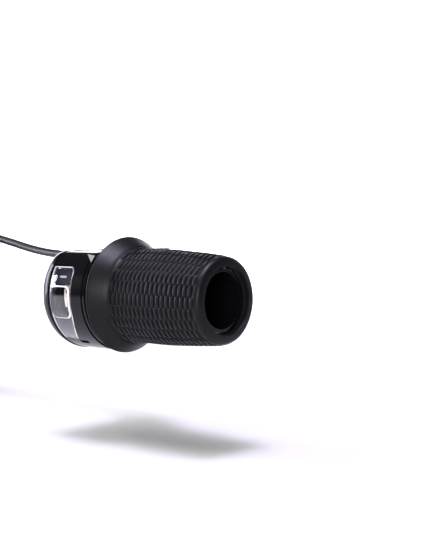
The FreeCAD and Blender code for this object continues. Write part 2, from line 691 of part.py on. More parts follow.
def number_ring():
    return sector(RING_X[0], RING_X[1], RING_R - RING_T, RING_R, *RING_ARC)


def cable_head():
    start = at_angle(GROOVE_X, HEAD_LIFT, HEAD_AT).sub(along_drum(HEAD_AT).multiply(HEAD_LONG / 2))
    return Part.makeCylinder(HEAD_R, HEAD_LONG, start, along_drum(HEAD_AT))


def cable_wrap():
    """Stretch of inner wire that lies in the drum's groove."""
    clear = HEAD_AT + math.degrees((HEAD_LONG / 2 + 0.25) / WIND_R)
    start = at_angle(GROOVE_X, WIND_R, WRAP_END)
    circle = Part.Wire(Part.makeCircle(CABLE_R, start, along_drum(WRAP_END)))
    return Part.Face(circle).revolve(ORIGIN, ALONG, WRAP_END - clear)


def inner_cable():
    return along_cable(0.2, CASING_X0, CABLE_R)


def thrust_washer():
    return tube(CLAMP_HALF, CLAMP_HALF + WASHER_T, CORE_R + FACE_GAP, SLEEVE_R + WASHER_FIT)


# ---------------------------------------------------------------- turning grip
def grip_curves(drop):
    """The sleeve's shoulder and long taper, or the same two curves nearer the bar."""
    top = GRIP_R - drop
    rise = FLARE_R - GRIP_R
    taper_x = GRIP_X0 + SHOULDER_LINE[-1][0]
    shoulder = Part.BSplineCurve()
    shoulder.interpolate([V(GRIP_X0 + x, top + rise * share, 0) for x, share in SHOULDER_LINE])
    taper = Part.BSplineCurve()
    taper.interpolate([V(taper_x + (END_ROUND_X - taper_x) * way, top - GRIP_TAPER * fall, 0)
                       for way, fall in TAPER_LINE])
    return [shoulder.toShape(), taper.toShape()]


def grip_outline():
    """Outer outline of the rubber as x and radius: flare, soft shoulder, long taper, round end."""
    end_r = GRIP_R - GRIP_TAPER
    inner = CORE_BORE_R
    slope = FLARE_ROUND * (1 - math.sqrt(0.5))
    edge_round = Part.Arc(V(GRIP_X0, FLARE_R - FLARE_ROUND, 0), V(GRIP_X0 + slope, FLARE_R - slope, 0),
                          V(GRIP_X0 + SHOULDER_LINE[0][0], FLARE_R, 0)).toShape()
    lip_r = end_r - 2.5
    end_round = Part.Arc(V(END_ROUND_X, end_r, 0), V(GRIP_X1 - 0.75, end_r - 0.9, 0),
                         V(GRIP_X1, lip_r, 0)).toShape()
    return [
        Part.makeLine(V(GRIP_X0, inner, 0), V(GRIP_X0, FLARE_R - FLARE_ROUND, 0)),
        edge_round,
        *grip_curves(0),
        end_round,
        Part.makeLine(V(GRIP_X1, lip_r, 0), V(GRIP_X1, inner, 0)),
        Part.makeLine(V(GRIP_X1, inner, 0), V(GRIP_X0, inner, 0)),
    ]


def grip_keys(room):
    keys = []
    for step in range(KEYS):
        half = KEY_WIDE / 2 + room
        key = block(KEY_X[0], KEY_X[1], -half, half, CORE_R - 1, CORE_R + KEY_HIGH + room)
        key.rotate(ORIGIN, ALONG, 360 / KEYS * step)
        keys.append(key)
    return keys


def grip_core():
    """Stiff tube under the rubber, with dogs for the drum, a flange and an end pocket."""
    front = DRUM_X1 + DOG_DEPTH
    between = DOG_PITCH - DOG_SPAN
    dogs = [sector(DRUM_X1 + FACE_GAP, front + FACE_GAP, CORE_BORE_R, CORE_R,
                   start + DOG_SPAN + 1.5, start + DOG_SPAN + between - 1.5) for start in dog_starts()]
    body = rod(front + FACE_GAP / 2, CORE_X1, CORE_R)
    flange = rod(CORE_FLANGE_X0, CORE_FLANGE_X1, CORE_FLANGE_R)
    core = fuse_all([body, flange] + grip_keys(0))
    core = core.cut(rod(DRUM_X1, CORE_X1 + 1, CORE_BORE_R))
    core = core.cut(rod(POCKET_X0, CORE_X1 + 1, POCKET_R))
    return fuse_all([core] + dogs)


def ribs():
    """Short ribs in rows round the sleeve, each row half a pitch along from the next."""
    step = RIB_PITCH / 2
    row = 360 / RIB_ROWS
    made = []
    for column in range(int((RIB_X[1] - RIB_X[0]) / step + 0.5) + 1):
        x = RIB_X[0] + column * step
        for turn in range(column % 2, RIB_ROWS, 2):
            middle = turn * row
            made.append(sector(x - RIB_WIDE / 2, x + RIB_WIDE / 2, CORE_R, FLARE_R + 1,
                               middle - RIB_SPAN / 2, middle + RIB_SPAN / 2))
    return made


def rib_valleys():
    """What is taken off the sleeve between and around its ribs."""
    low_r = GRIP_R - GRIP_TAPER - RIB_HIGH
    start = GRIP_X0 + SHOULDER_LINE[0][0]
    end = RIB_X[1] + RIB_MARGIN
    high_r = FLARE_R + 0.5
    sides = [
        Part.makeLine(V(END_ROUND_X, low_r, 0), V(end, low_r, 0)),
        Part.makeLine(V(end, low_r, 0), V(end, high_r, 0)),
        Part.makeLine(V(end, high_r, 0), V(start, high_r, 0)),
        Part.makeLine(V(start, high_r, 0), V(start, FLARE_R - RIB_HIGH, 0)),
    ]
    ring = Part.Face(Part.Wire(grip_curves(RIB_HIGH) + sides)).revolve(ORIGIN, ALONG, 360)
    ring = ring.cut(rod(start - 1, RIB_X[0] - RIB_MARGIN, high_r + 1))
    return ring.cut(ribs())


def grip_rubber():
    """Soft sleeve over the core, closed over the core's flange and outboard end."""
    sleeve = Part.Face(Part.Wire(grip_outline())).revolve(ORIGIN, ALONG, 360)
    sleeve = sleeve.cut(rib_valleys())
    sleeve = sleeve.cut(rod(GRIP_X0 - 1, CORE_X1, CORE_R + FIT))
    sleeve = sleeve.cut(rod(GRIP_X0 - 1, GRIP_X1 + 1, GRIP_MOUTH_R))
    sleeve = sleeve.cut(rod(GRIP_X0 - 1, CORE_FLANGE_X1 + FIT, CORE_FLANGE_R + FIT))
    return cut_all(sleeve, grip_keys(FIT))


def end_washer():
    return tube(POCKET_X0 + FACE_GAP, SNAP_X[0] - WASHER_FIT, POCKET_R - 0.3, SLEEVE_R + WASHER_FIT)


def retaining_ring():
    ring = tube(SNAP_X[0], SNAP_X[1], SLEEVE_R + SNAP_HIGH, SLEEVE_R - SNAP_DEEP)
    return ring.cut(block(SNAP_X[0] - 1, SNAP_X[1] + 1, -SNAP_GAP_HALF, SNAP_GAP_HALF, 0, CORE_R))


# ---------------------------------------------------------------- cable's way out
def cable_guide():
    outer = along_cable(GUIDE_Y0, INSERT_X1, GUIDE_R)
    return outer.cut(along_cable(GUIDE_Y0 - 1, INSERT_X1 - 1, GUIDE_BORE_R))


def over_hatch(radius, z0, z1):
    """Upright rod on the hatch screw's axis."""
    return Part.makeCylinder(radius, z1 - z0, V(HATCH_SCREW[0], HATCH_SCREW[1], z0), UP)


def cable_hatch():
    lid = block(HATCH_X[0] + HATCH_FIT, HATCH_X[1] - HATCH_FIT, HATCH_Y[0] + HATCH_FIT, HATCH_Y[1] - HATCH_FIT,
                NOSE_TOP - HATCH_T, NOSE_TOP)
    uprights = edges_where(lid, lambda edge: edge.BoundBox.ZLength > HATCH_T / 2)
    lid = lid.makeFillet(HATCH_ROUND, uprights)
    return lid.cut(over_hatch(HATCH_SCREW_R + SCREW_FIT, NOSE_TOP - HATCH_T - 1, NOSE_TOP + 1))


def hatch_screw():
    head = over_hatch(HATCH_HEAD[0], NOSE_TOP, NOSE_TOP + HATCH_HEAD[1])
    shank = over_hatch(HATCH_SCREW_R, NOSE_TOP - HATCH_SCREW_LONG, NOSE_TOP)
    slot = block(HATCH_SCREW[0] - HATCH_HEAD[0] - 1, HATCH_SCREW[0] + HATCH_HEAD[0] + 1, HATCH_SCREW[1] - 0.25,
                 HATCH_SCREW[1] + 0.25, NOSE_TOP + HATCH_HEAD[1] / 2, NOSE_TOP + 2)
    return fuse_all([head, shank]).cut(slot)


def nose_insert():
    return tube(0, INSERT_X1, INSERT_R, SHANK_R + 0.05, NOSE_Y, CABLE_Z)


def adjuster_barrel():
    """Fluted thumb knob on a threaded shank, with a socket for the casing's ferrule."""
    knob = rod(KNOB_X[0], KNOB_X[1], KNOB_R, NOSE_Y, CABLE_Z)
    knob = knob.makeChamfer(KNOB_EDGE, edges_where(knob, lambda edge: edge.BoundBox.XLength < 1e-6))
    for step in range(FLUTES):
        turn = math.tau / FLUTES * step
        y = NOSE_Y + (KNOB_R + FLUTE_OUT) * math.cos(turn)
        z = CABLE_Z + (KNOB_R + FLUTE_OUT) * math.sin(turn)
        knob = knob.cut(rod(FLUTE_X0, KNOB_X[1] + 1, FLUTE_R, y, z))
    barrel = fuse_all([knob, rod(KNOB_X[1] - 0.5, INSERT_X1 - 0.5, SHANK_R, NOSE_Y, CABLE_Z)])
    barrel = barrel.cut(rod(KNOB_X[0] - 1, SOCKET_X, SOCKET_R, NOSE_Y, CABLE_Z))
    return barrel.cut(rod(KNOB_X[0] - 1, INSERT_X1 + 1, CABLE_R + WIRE_WAY, NOSE_Y, CABLE_Z))


def adjuster_ring():
    """Rubber ring between the knob and the nose that holds the knob where it is set."""
    middle = V(KNOB_X[1] + SEAL_R + 0.05, NOSE_Y, CABLE_Z)
    return Part.makeTorus(SHANK_R + SEAL_R + 0.05, SEAL_R, middle, ALONG)


def casing_ferrule():
    """Metal cup on the casing's end, seated in the adjuster."""
    cup = rod(EXIT_X + COLLAR_LONG / 2, SOCKET_X - 0.05, FERRULE_R, NOSE_Y, CABLE_Z)
    collar = rod(EXIT_X, EXIT_X + COLLAR_LONG, FERRULE_R + COLLAR_PROUD, NOSE_Y, CABLE_Z)
    cup = fuse_all([cup, collar])
    cup = cup.cut(rod(EXIT_X - 1, CASING_X0, CASING_R + FIT, NOSE_Y, CABLE_Z))
    return cup.cut(rod(EXIT_X - 1, SOCKET_X + 1, CABLE_R + WIRE_WAY, NOSE_Y, CABLE_Z))


def cable_coil():
    """Outer shape of the coiled casing: two layers of turns side by side."""
    start = V(COIL_AT.x, COIL_AT.y + CASING_R - COIL_DEEP, COIL_AT.z)
    ring = Part.makeCylinder(COIL_OUTER_R + CASING_R, COIL_DEEP, start, FORWARD)
    return ring.cut(Part.makeCylinder(COIL_INNER_R - CASING_R, COIL_DEEP, start, FORWARD))


def coil_tie():
    """Strap round the coil's turns with its small lock."""
    y1 = COIL_AT.y + CASING_R
    y0 = y1 - COIL_DEEP
    x0 = COIL_INNER_R - CASING_R - TIE_FIT
    x1 = COIL_OUTER_R + CASING_R
    half = TIE_WIDE / 2
    outer = block(x0 - TIE_T, x1 + TIE_T, y0 - TIE_T, y1 + TIE_T, -half, half)
    hole = block(x0, x1 + FIT, y0, y1, -TIE_WIDE, TIE_WIDE)
    lock = block(x1 + TIE_T / 2, x1 + TIE_T + LOCK_OUT, y1 - LOCK_Y[0], y1 - LOCK_Y[1], -LOCK_HALF, LOCK_HALF)
    strap = fuse_all([outer.cut(hole), lock])
    strap.rotate(ORIGIN, FORWARD, -TIE_AT)
    strap.translate(V(COIL_AT.x, 0, COIL_AT.z))
    return strap


def upright(top_z, bottom_z, radius):
    return Part.makeCylinder(radius, top_z - bottom_z, V(COIL_AT.x - COIL_INNER_R, TAIL_Y, bottom_z), UP)


def casing_end():
    """Last straight stretch of the casing, lying on the coil's side."""
    return upright(TAIL_Z[0], TAIL_Z[1], CASING_R)


def end_ferrule():
    top, foot = END_FERRULE_Z
    cup = upright(top, foot, FERRULE_R)
    cup = cup.cut(upright(top + 1, TAIL_Z[1], CASING_R + FIT))
    return cup.cut(upright(top, foot - 1, CABLE_R + 0.05))


def wire_tail():
    return upright(TAIL_Z[1], WIRE_END_Z, CABLE_R)


def crimp_cap():
    foot = WIRE_END_Z - CRIMP_END
    cap = upright(foot + CRIMP_LONG, foot, CRIMP_R)
    rim = edges_where(cap, lambda edge: edge.BoundBox.ZMax < foot + CRIMP_END / 2)
    cap = cap.makeFillet(CRIMP_END / 2, rim)
    return cap.cut(upright(foot + CRIMP_LONG + 1, WIRE_END_Z, CABLE_R + FIT))


def build():
    os.makedirs("parts", exist_ok=True)
    export("housing_base", housing_base())
    export("housing_cover", housing_cover())
    for number, place in enumerate(screw_places(), 1):
        export("cover_screw_%d" % number, cover_screw(place))
    export("clamp_screw", clamp_screw())
    export("clamp_nut", clamp_nut())
    export("window_lens", window_lens())
    export("indicator_bezel", indicator_bezel())
    export("index_mark", index_mark())
    export("detent_spring", detent_spring())
    export("cable_drum", cable_drum())
    export("number_ring", number_ring())
    export("cable_head", cable_head())
    export("cable_wrap", cable_wrap())
    export("inner_cable", inner_cable())
    export("thrust_washer", thrust_washer())
    export("grip_core", grip_core())
    export("grip_rubber", grip_rubber())
    export("end_washer", end_washer())
    export("retaining_ring", retaining_ring())
    export("cable_guide", cable_guide())
    export("cable_hatch", cable_hatch())
    export("hatch_screw", hatch_screw())
    export("nose_insert", nose_insert())
    export("adjuster_barrel", adjuster_barrel())
    export("adjuster_ring", adjuster_ring())
    export("casing_ferrule", casing_ferrule())
    export("cable_casing", swept(CASING_ROUTE, CASING_R, "casing"))
    export("cable_coil", cable_coil())
    export("coil_tie", coil_tie())
    export("casing_end", casing_end())
    export("end_ferrule", end_ferrule())
    export("wire_tail", wire_tail())
    export("crimp_cap", crimp_cap())


build()
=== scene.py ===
"""Looks of a bicycle twist shifter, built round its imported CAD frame. Metres, +X along the bar."""
import bpy
import bmesh
import math
from mathutils import Matrix, Vector


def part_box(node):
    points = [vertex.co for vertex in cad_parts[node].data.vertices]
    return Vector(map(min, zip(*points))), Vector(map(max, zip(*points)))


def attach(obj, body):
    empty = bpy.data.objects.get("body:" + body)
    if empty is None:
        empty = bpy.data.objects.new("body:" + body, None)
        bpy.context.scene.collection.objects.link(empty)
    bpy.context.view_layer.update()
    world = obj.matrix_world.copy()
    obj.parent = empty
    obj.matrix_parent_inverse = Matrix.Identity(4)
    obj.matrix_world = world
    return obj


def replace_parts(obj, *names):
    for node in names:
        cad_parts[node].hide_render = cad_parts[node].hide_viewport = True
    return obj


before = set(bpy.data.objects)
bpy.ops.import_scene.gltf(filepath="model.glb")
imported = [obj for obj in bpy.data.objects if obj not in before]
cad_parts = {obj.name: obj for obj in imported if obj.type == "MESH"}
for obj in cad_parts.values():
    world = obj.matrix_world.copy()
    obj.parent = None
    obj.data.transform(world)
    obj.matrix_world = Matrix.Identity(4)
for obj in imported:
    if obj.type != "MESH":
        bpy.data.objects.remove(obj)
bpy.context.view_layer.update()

MM = 0.001
ALONG = Vector((1, 0, 0))
HOUSING = "housing"
GRIP = "grip"

# Sizes that the CAD part fixes, in millimetres.
GRIP_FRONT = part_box("grip_rubber")[0][0] / MM
GRIP_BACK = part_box("grip_rubber")[1][0] / MM
RING_R = 17.8
CASING_R = 2.0


def linear(hex_colour):
    """sRGB hex to Blender's linear colour."""
    channels = [int(hex_colour[i:i + 2], 16) / 255 for i in (0, 2, 4)]
    return [c / 12.92 if c <= 0.04045 else ((c + 0.055) / 1.055) ** 2.4 for c in channels] + [1.0]


def at_angle(x, radius, degrees):
    """Point in metres, at an angle from the rider's side over the top."""
    turn = math.radians(degrees)
    return Vector((x, -radius * math.cos(turn), radius * math.sin(turn))) * MM


# ------------------------------------------------------------------ materials
def node(tree, kind, settings=(), **links):
    """Adds a node with its settings, and links its named or numbered inputs."""
    made = tree.nodes.new("ShaderNode" + kind)
    for key, value in dict(settings).items():
        if isinstance(key, int) or key in made.inputs:
            made.inputs[key].default_value = value
        else:
            setattr(made, key, value)
    for key, source in links.items():
        name = key.replace("_", " ")
        target = made.inputs[int(key[1:])] if key[0] == "i" and key[1:].isdigit() else made.inputs[name]
        tree.links.new(source, target)
    return made


def finish(name, settings):
    """A material with one Principled shader, its tree and object coordinates."""
    material = bpy.data.materials.new(name)
    material.use_nodes = True
    tree = material.node_tree
    shader = tree.nodes["Principled BSDF"]
    for key, value in settings.items():
        shader.inputs[key].default_value = value
    place = node(tree, "TexCoord").outputs["Object"]
    return material, tree, shader, place


def mottle(tree, shader, place, grain_mm, low, high):
    """Uneven roughness from handling and moulding."""
    noise = node(tree, "TexNoise", {"Scale": 1 / (grain_mm * MM), "Detail": 4.0}, Vector=place)
    spread = node(tree, "MapRange", {"To Min": low, "To Max": high}, Value=noise.outputs["Fac"])
    tree.links.new(spread.outputs["Result"], shader.inputs["Roughness"])


def tint(tree, shader, place, grain_mm, dark, light):
    """Slow drift between two close colours."""
    noise = node(tree, "TexNoise", {"Scale": 1 / (grain_mm * MM), "Detail": 3.0}, Vector=place)
    mix = node(tree, "Mix", {"data_type": "RGBA", 6: linear(dark), 7: linear(light)}, i0=noise.outputs["Fac"])
    tree.links.new(mix.outputs[2], shader.inputs["Base Color"])


def surface_bump(tree, shader, height, strength, depth_mm):
    """Fine relief that only the shading shows."""
    bump = node(tree, "Bump", {"Strength": strength, "Distance": depth_mm * MM}, Height=height)
    tree.links.new(bump.outputs["Normal"], shader.inputs["Normal"])


def polished_abs():
    """Injection moulded ABS from a polished tool: deep black, sharp reflections, faint ripple."""
    material, tree, shader, place = finish("polished_abs", {"IOR": 1.54, "Specular IOR Level": 0.2})
    tint(tree, shader, place, 14, "08090B", "0E0F12")
    mottle(tree, shader, place, 6, 0.1, 0.2)
    ripple = node(tree, "TexNoise", {"Scale": 1 / (5 * MM), "Detail": 1.0}, Vector=place)
    surface_bump(tree, shader, ripple.outputs["Fac"], 0.12, 0.05)
    return material


def satin_abs():
    """The same ABS from a lightly textured tool, as on the small knob."""
    material, tree, shader, place = finish("satin_abs", {"IOR": 1.54})
    tint(tree, shader, place, 9, "101113", "18191C")
    mottle(tree, shader, place, 2, 0.34, 0.48)
    grain = node(tree, "TexNoise", {"Scale": 1 / (0.35 * MM), "Detail": 2.0}, Vector=place)
    surface_bump(tree, shader, grain.outputs["Fac"], 0.25, 0.04)
    return material


def moulded_rubber():
    """Thermoplastic rubber: matt charcoal with a pale, slightly violet bloom at glancing angles."""
    material, tree, shader, place = finish(
        "moulded_rubber", {"IOR": 1.5, "Specular IOR Level": 0.2, "Sheen Weight": 0.05,
                           "Sheen Roughness": 0.45, "Sheen Tint": linear("C9C4E4")})
    tint(tree, shader, place, 11, "08070A", "0E0D11")
    mottle(tree, shader, place, 3, 0.36, 0.48)
    grain = node(tree, "TexNoise", {"Scale": 1 / (0.4 * MM), "Detail": 3.0}, Vector=place)
    surface_bump(tree, shader, grain.outputs["Fac"], 0.3, 0.05)
    return material


def clear_polycarbonate():
    """Polished polycarbonate window: colourless and glassy, with light falling through it unbent."""
    material, tree, shader, place = finish(
        "clear_polycarbonate", {"IOR": 1.58, "Transmission Weight": 1.0, "Base Color": linear("F4F6F8")})
    mottle(tree, shader, place, 8, 0.005, 0.02)
    light_path = node(tree, "LightPath")
    through = node(tree, "BsdfTransparent")
    mix = node(tree, "MixShader", {}, i0=light_path.outputs["Is Shadow Ray"], i1=shader.outputs["BSDF"],
               i2=through.outputs["BSDF"])
    tree.links.new(mix.outputs["Shader"], tree.nodes["Material Output"].inputs["Surface"])
    return material


def moulded_edge():
    """Near-white painted highlight for the window's moulded steps and rim, standing in for the light that the
    clear plastic's edges catch.
    """
    material, tree, shader, place = finish(
        # Base colour painted near-white as a highlight.
        "moulded_edge", {"IOR": 1.58, "Transmission Weight": 0.1, "Base Color": linear("FBFCFD")})
    mottle(tree, shader, place, 4, 0.12, 0.25)
    return material


def navy_mask():
    """Glossy blue-black print behind the window."""
    material, tree, shader, place = finish("navy_mask", {"IOR": 1.5, "Specular IOR Level": 0.2})
    tint(tree, shader, place, 7, "0D0F1C", "17192A")
    mottle(tree, shader, place, 5, 0.5, 0.65)
    return material


def dial_print(name, dark, light):
    """Printed dial: smooth ink with a slight unevenness."""
    material, tree, shader, place = finish(name, {"IOR": 1.46})
    tint(tree, shader, place, 3, dark, light)
    mottle(tree, shader, place, 1.5, 0.35, 0.5)
    return material


def metal(name, dark, light, low, high, scratch_mm=0.6):
    """Machined or plated metal with fine turning marks along it."""
    material, tree, shader, place = finish(name, {"Metallic": 1.0})
    tint(tree, shader, place, 4, dark, light)
    mottle(tree, shader, place, 2, low, high)
    marks = node(tree, "TexNoise", {"Scale": 1 / (scratch_mm * MM), "Detail": 5.0}, Vector=place)
    surface_bump(tree, shader, marks.outputs["Fac"], 0.2, 0.02)
    return material


def stranded_wire():
    """Galvanised wire rope: the strands' twist shows as slanting lines."""
    material, tree, shader, place = finish("stranded_wire", {"Metallic": 1.0, "Roughness": 0.35})
    tint(tree, shader, place, 3, "8E8F92", "B4B5B8")
    lay = {"Scale": 1 / (1.1 * MM) / math.tau, "bands_direction": "DIAGONAL"}
    strands = node(tree, "TexWave", lay, Vector=place)
    surface_bump(tree, shader, strands.outputs["Fac"], 0.6, 0.1)
    return material


def plain_polymer(name, dark, light, low, high):
    """Nylon or acetal moulding with a soft satin face."""
    material, tree, shader, place = finish(name, {"IOR": 1.52})
    tint(tree, shader, place, 6, dark, light)
    mottle(tree, shader, place, 2.5, low, high)
    grain = node(tree, "TexNoise", {"Scale": 1 / (0.5 * MM), "Detail": 2.0}, Vector=place)
    surface_bump(tree, shader, grain.outputs["Fac"], 0.2, 0.03)
    return material


def pvc_jacket():
    """Extruded PVC jacket of the casing: satin black, faintly drawn."""
    material, tree, shader, place = finish(
        "pvc_jacket", {"IOR": 1.53, "Coat Weight": 0.15, "Coat Roughness": 0.3})
    tint(tree, shader, place, 20, "0E0F10", "17181A")
    mottle(tree, shader, place, 5, 0.3, 0.42)
    drawn = node(tree, "TexNoise", {"Scale": 1 / (0.8 * MM), "Detail": 2.0}, Vector=place)
    surface_bump(tree, shader, drawn.outputs["Fac"], 0.15, 0.03)
    return material


def paint(obj, material):
    obj.data.materials.clear()
    obj.data.materials.append(material)


# ------------------------------------------------------------------ mesh helpers
def piece(name, shape, body, material, smooth=35.0):
    """Turns a bmesh into a piece that rides on a body."""
    bmesh.ops.recalc_face_normals(shape, faces=shape.faces)
    mesh = bpy.data.meshes.new(name)
    shape.to_mesh(mesh)
    shape.free()
    obj = bpy.data.objects.new(name, mesh)
    bpy.context.scene.collection.objects.link(obj)
    mesh.materials.append(material)
    for face in mesh.polygons:
        face.use_smooth = True
    mesh.set_sharp_from_angle(angle=math.radians(smooth))
    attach(obj, body)
    return obj


def outline(shape, points):
    """Closed loop of edges through points given in millimetres."""
    verts = [shape.verts.new(Vector(point) * MM) for point in points]
    return [shape.edges.new(pair) for pair in zip(verts, verts[1:] + verts[:1])]


def turned(shape, points, steps=160):
    """Closed outline in x and radius, turned once round the bar's axis."""
    loop = outline(shape, [(x, 0, radius) for x, radius in points])
    verts = {vert for edge in loop for vert in edge.verts}
    bmesh.ops.spin(shape, geom=list(verts) + loop, cent=(0, 0, 0), axis=ALONG, angle=math.tau,
                   steps=steps, use_merge=True)
    bmesh.ops.remove_doubles(shape, verts=shape.verts, dist=0.002 * MM)


# ------------------------------------------------------------------ grip sleeve
# Points in x and radius along the sleeve's outside.
GRIP_OUTLINE = [(25.2, 24.8), (27.0, 23.75), (29.5, 22.2), (32.0, 20.7), (34.5, 20.0), (38.0, 19.9),
                (51.0, 19.9), (59.0, 19.5), (67.0, 19.0), (73.0, 18.5), (77.0, 18.1)]
# Rounded lip of the flare, counted from its front, and the sleeve's rounded end.
FLARE_LIP = [(0.0, 24.1), (0.06, 24.4), (0.22, 24.62), (0.45, 24.75)]
END_ROUND = [(78.2, 17.75), (79.1, 17.3), (79.7, 16.6)]
END_FACE_R = (15.6, 13.9)
END_BEVEL = 0.4
END_GAP = 0.03
SLEEVE_BORE_R = 15.75
END_WALL_X = 78.0
END_BORE_R = 13.72
RIB_START = 33.0
RIB_END = 76.2
RIB_PITCH = 2.4
RIB_WIDE = 1.5
RIB_HIGH = 0.6
RIB_ROWS = 24
RIB_SPAN = 13.2
RIB_STEPS = 4
RIB_CROWN = 0.62
RIB_CLEAR = 0.05
RIB_SHOULDER = 0.3
RIB_ROOT = 0.35
RIB_END_FALL = 0.25
GROUND_MARGIN = 1.6
GROUND_LEAD = 1.2
GROUND_GAP = 0.03


def slope_at(index):
    """Slope of the outline at one of its points."""
    before = GRIP_OUTLINE[max(index - 1, 0)]
    after = GRIP_OUTLINE[min(index + 1, len(GRIP_OUTLINE) - 1)]
    return (after[1] - before[1]) / (after[0] - before[0])


def grip_radius(x):
    """Smooth curve through the outline's points."""
    x = min(max(x, GRIP_OUTLINE[0][0]), GRIP_OUTLINE[-1][0])
    index = next(i for i in range(len(GRIP_OUTLINE) - 1) if x <= GRIP_OUTLINE[i + 1][0])
    (x0, r0), (x1, r1) = GRIP_OUTLINE[index], GRIP_OUTLINE[index + 1]
    long = x1 - x0
    t = (x - x0) / long
    return ((2 * t ** 3 - 3 * t ** 2 + 1) * r0 + (t ** 3 - 2 * t ** 2 + t) * long * slope_at(index)
            + (3 * t ** 2 - 2 * t ** 3) * r1 + (t ** 3 - t ** 2) * long * slope_at(index + 1))


def ribbed_drop(x):
    """How far the ground between the ribs lies under the grip's outline."""
    into = min(x - (RIB_START - GROUND_MARGIN), (RIB_END + GROUND_MARGIN) - x) / GROUND_LEAD
    return RIB_HIGH * max(0.0, min(1.0, into)) + GROUND_GAP


def grip_sleeve(rubber):
    """Turned rubber body whose ground dips where the ribs stand."""
    shape = bmesh.new()
    first = GRIP_OUTLINE[0][0]
    points = [(GRIP_FRONT, SLEEVE_BORE_R)] + [(GRIP_FRONT + back, radius) for back, radius in FLARE_LIP]
    steps = 100
    for step in range(steps + 1):
        x = first + (GRIP_OUTLINE[-1][0] - first) * step / steps
        points.append((x, grip_radius(x) - ribbed_drop(x)))
    points += END_ROUND + [(GRIP_BACK - END_GAP, radius) for radius in END_FACE_R]
    points += [(GRIP_BACK - END_BEVEL, END_BORE_R), (END_WALL_X, END_BORE_R), (END_WALL_X, SLEEVE_BORE_R)]
    turned(shape, points)
    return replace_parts(piece("grip_sleeve", shape, GRIP, rubber, 50), "grip_rubber")


def rib_profile(shape, x, radius):
    """Rounded section of one rib standing on the sleeve."""
    half = RIB_WIDE / 2
    crown = half * RIB_CROWN
    foot = radius - RIB_HIGH - RIB_ROOT
    points = [(x - half, foot), (x - half, radius - RIB_SHOULDER), (x - crown, radius - RIB_CLEAR),
              (x + crown, radius - RIB_CLEAR), (x + half, radius - RIB_SHOULDER), (x + half, foot)]
    return shape.faces.new([shape.verts.new(Vector((px, 0, pr)) * MM) for px, pr in points])


def about_bar(degrees):
    return Matrix.Rotation(math.radians(degrees), 3, ALONG)


def lower_end(cap, radius):
    """Lets the top of a rib's end fall a little towards the sleeve."""
    middle = cap.calc_center_median()
    inward = Vector((0, -middle.y, -middle.z)).normalized()
    for vert in cap.verts:
        if math.hypot(vert.co.y, vert.co.z) > (radius - RIB_SHOULDER * 1.5) * MM:
            vert.co += inward * RIB_END_FALL * MM


def joined_faces(first):
    """Every face of the solid that one face belongs to."""
    whole = {first}
    grow = [first]
    while grow:
        for edge in grow.pop().edges:
            fresh = [other for other in edge.link_faces if other not in whole]
            whole.update(fresh)
            grow += fresh
    return list(whole)


def grip_ribs(rubber):
    """Rows of short ribs across the sleeve, each column half a pitch along from the last."""
    shape = bmesh.new()
    columns = int((RIB_END - RIB_START) / (RIB_PITCH / 2))
    row_deg = 360 / RIB_ROWS
    for column in range(columns + 1):
        x = RIB_START + column * RIB_PITCH / 2
        radius = grip_radius(x)
        face = rib_profile(shape, x, radius)
        start = column % 2 * row_deg - RIB_SPAN / 2
        bmesh.ops.rotate(shape, verts=face.verts, cent=(0, 0, 0), matrix=about_bar(start))
        made = bmesh.ops.spin(shape, geom=[face], cent=(0, 0, 0), axis=ALONG,
                              angle=math.radians(RIB_SPAN), steps=RIB_STEPS)
        lower_end(face, radius)
        for cap in made["geom_last"]:
            if isinstance(cap, bmesh.types.BMFace):
                lower_end(cap, radius)
        whole = joined_faces(face)
        for turn in range(1, RIB_ROWS // 2):
            copy = bmesh.ops.duplicate(shape, geom=whole)["geom"]
            verts = [item for item in copy if isinstance(item, bmesh.types.BMVert)]
            bmesh.ops.rotate(shape, verts=verts, cent=(0, 0, 0), matrix=about_bar(turn * 2 * row_deg))
    return piece("grip_ribs", shape, GRIP, rubber, 60)


# ------------------------------------------------------------------ gear window
LENS_MID = -10.5
LENS_OUT_R = 24.25
LENS_IN_R = 22.1
LENS_CROWN = 0.28
LENS_RIM_FALL = 0.2
PAD_RISE = 0.45
WINDOW_X = (1.56, 14.44)
WINDOW_S = (-15.54, 15.84)
WINDOW_CORNER = 2.4
PAD_X = (2.2, 13.8)
PAD_S = (-5.3, 8.7)
PAD_CORNER = 3.0
LENS_EDGE = 0.55
# The right side runs straight down to here, then comes in by this much at the bottom.
TAPER_FROM = -0.2
TAPER_IN = 4.6
TAPER_POWER = 1.85
# Where the window's edges are painted white as a highlight: shares of the step's width, a way in, a share of
# the rim.
HIGHLIGHT_STEP_SHARE = (0.1, 0.9)
HIGHLIGHT_STEP_INSET = 1.2
HIGHLIGHT_RIM_SHARE = 0.55


def window_right(s):
    """Right side of the window's outline: straight beside the numbers, curving in below them."""
    right = WINDOW_X[1]
    top = WINDOW_S[1] - s
    if top < WINDOW_CORNER:
        right -= WINDOW_CORNER - math.sqrt(max(0.0, WINDOW_CORNER ** 2 - (WINDOW_CORNER - top) ** 2))
    if s < TAPER_FROM:
        down = (TAPER_FROM - s) / (TAPER_FROM - WINDOW_S[0])
        right -= TAPER_IN * down ** TAPER_POWER
    return right


def to_pad_edge(x, s):
    """Distance inside the magnifier's rounded outline, negative outside it."""
    half_x = (PAD_X[1] - PAD_X[0]) / 2
    half_s = (PAD_S[1] - PAD_S[0]) / 2
    out_x = abs(x - (PAD_X[0] + PAD_X[1]) / 2) - (half_x - PAD_CORNER)
    out_s = abs(s - (PAD_S[0] + PAD_S[1]) / 2) - (half_s - PAD_CORNER)
    return PAD_CORNER - math.hypot(max(out_x, 0), max(out_s, 0)) - min(max(out_x, out_s), 0)


def eased(value):
    """Soft start and soft end between 0 and 1."""
    value = min(max(value, 0.0), 1.0)
    return value * value * (3 - 2 * value)


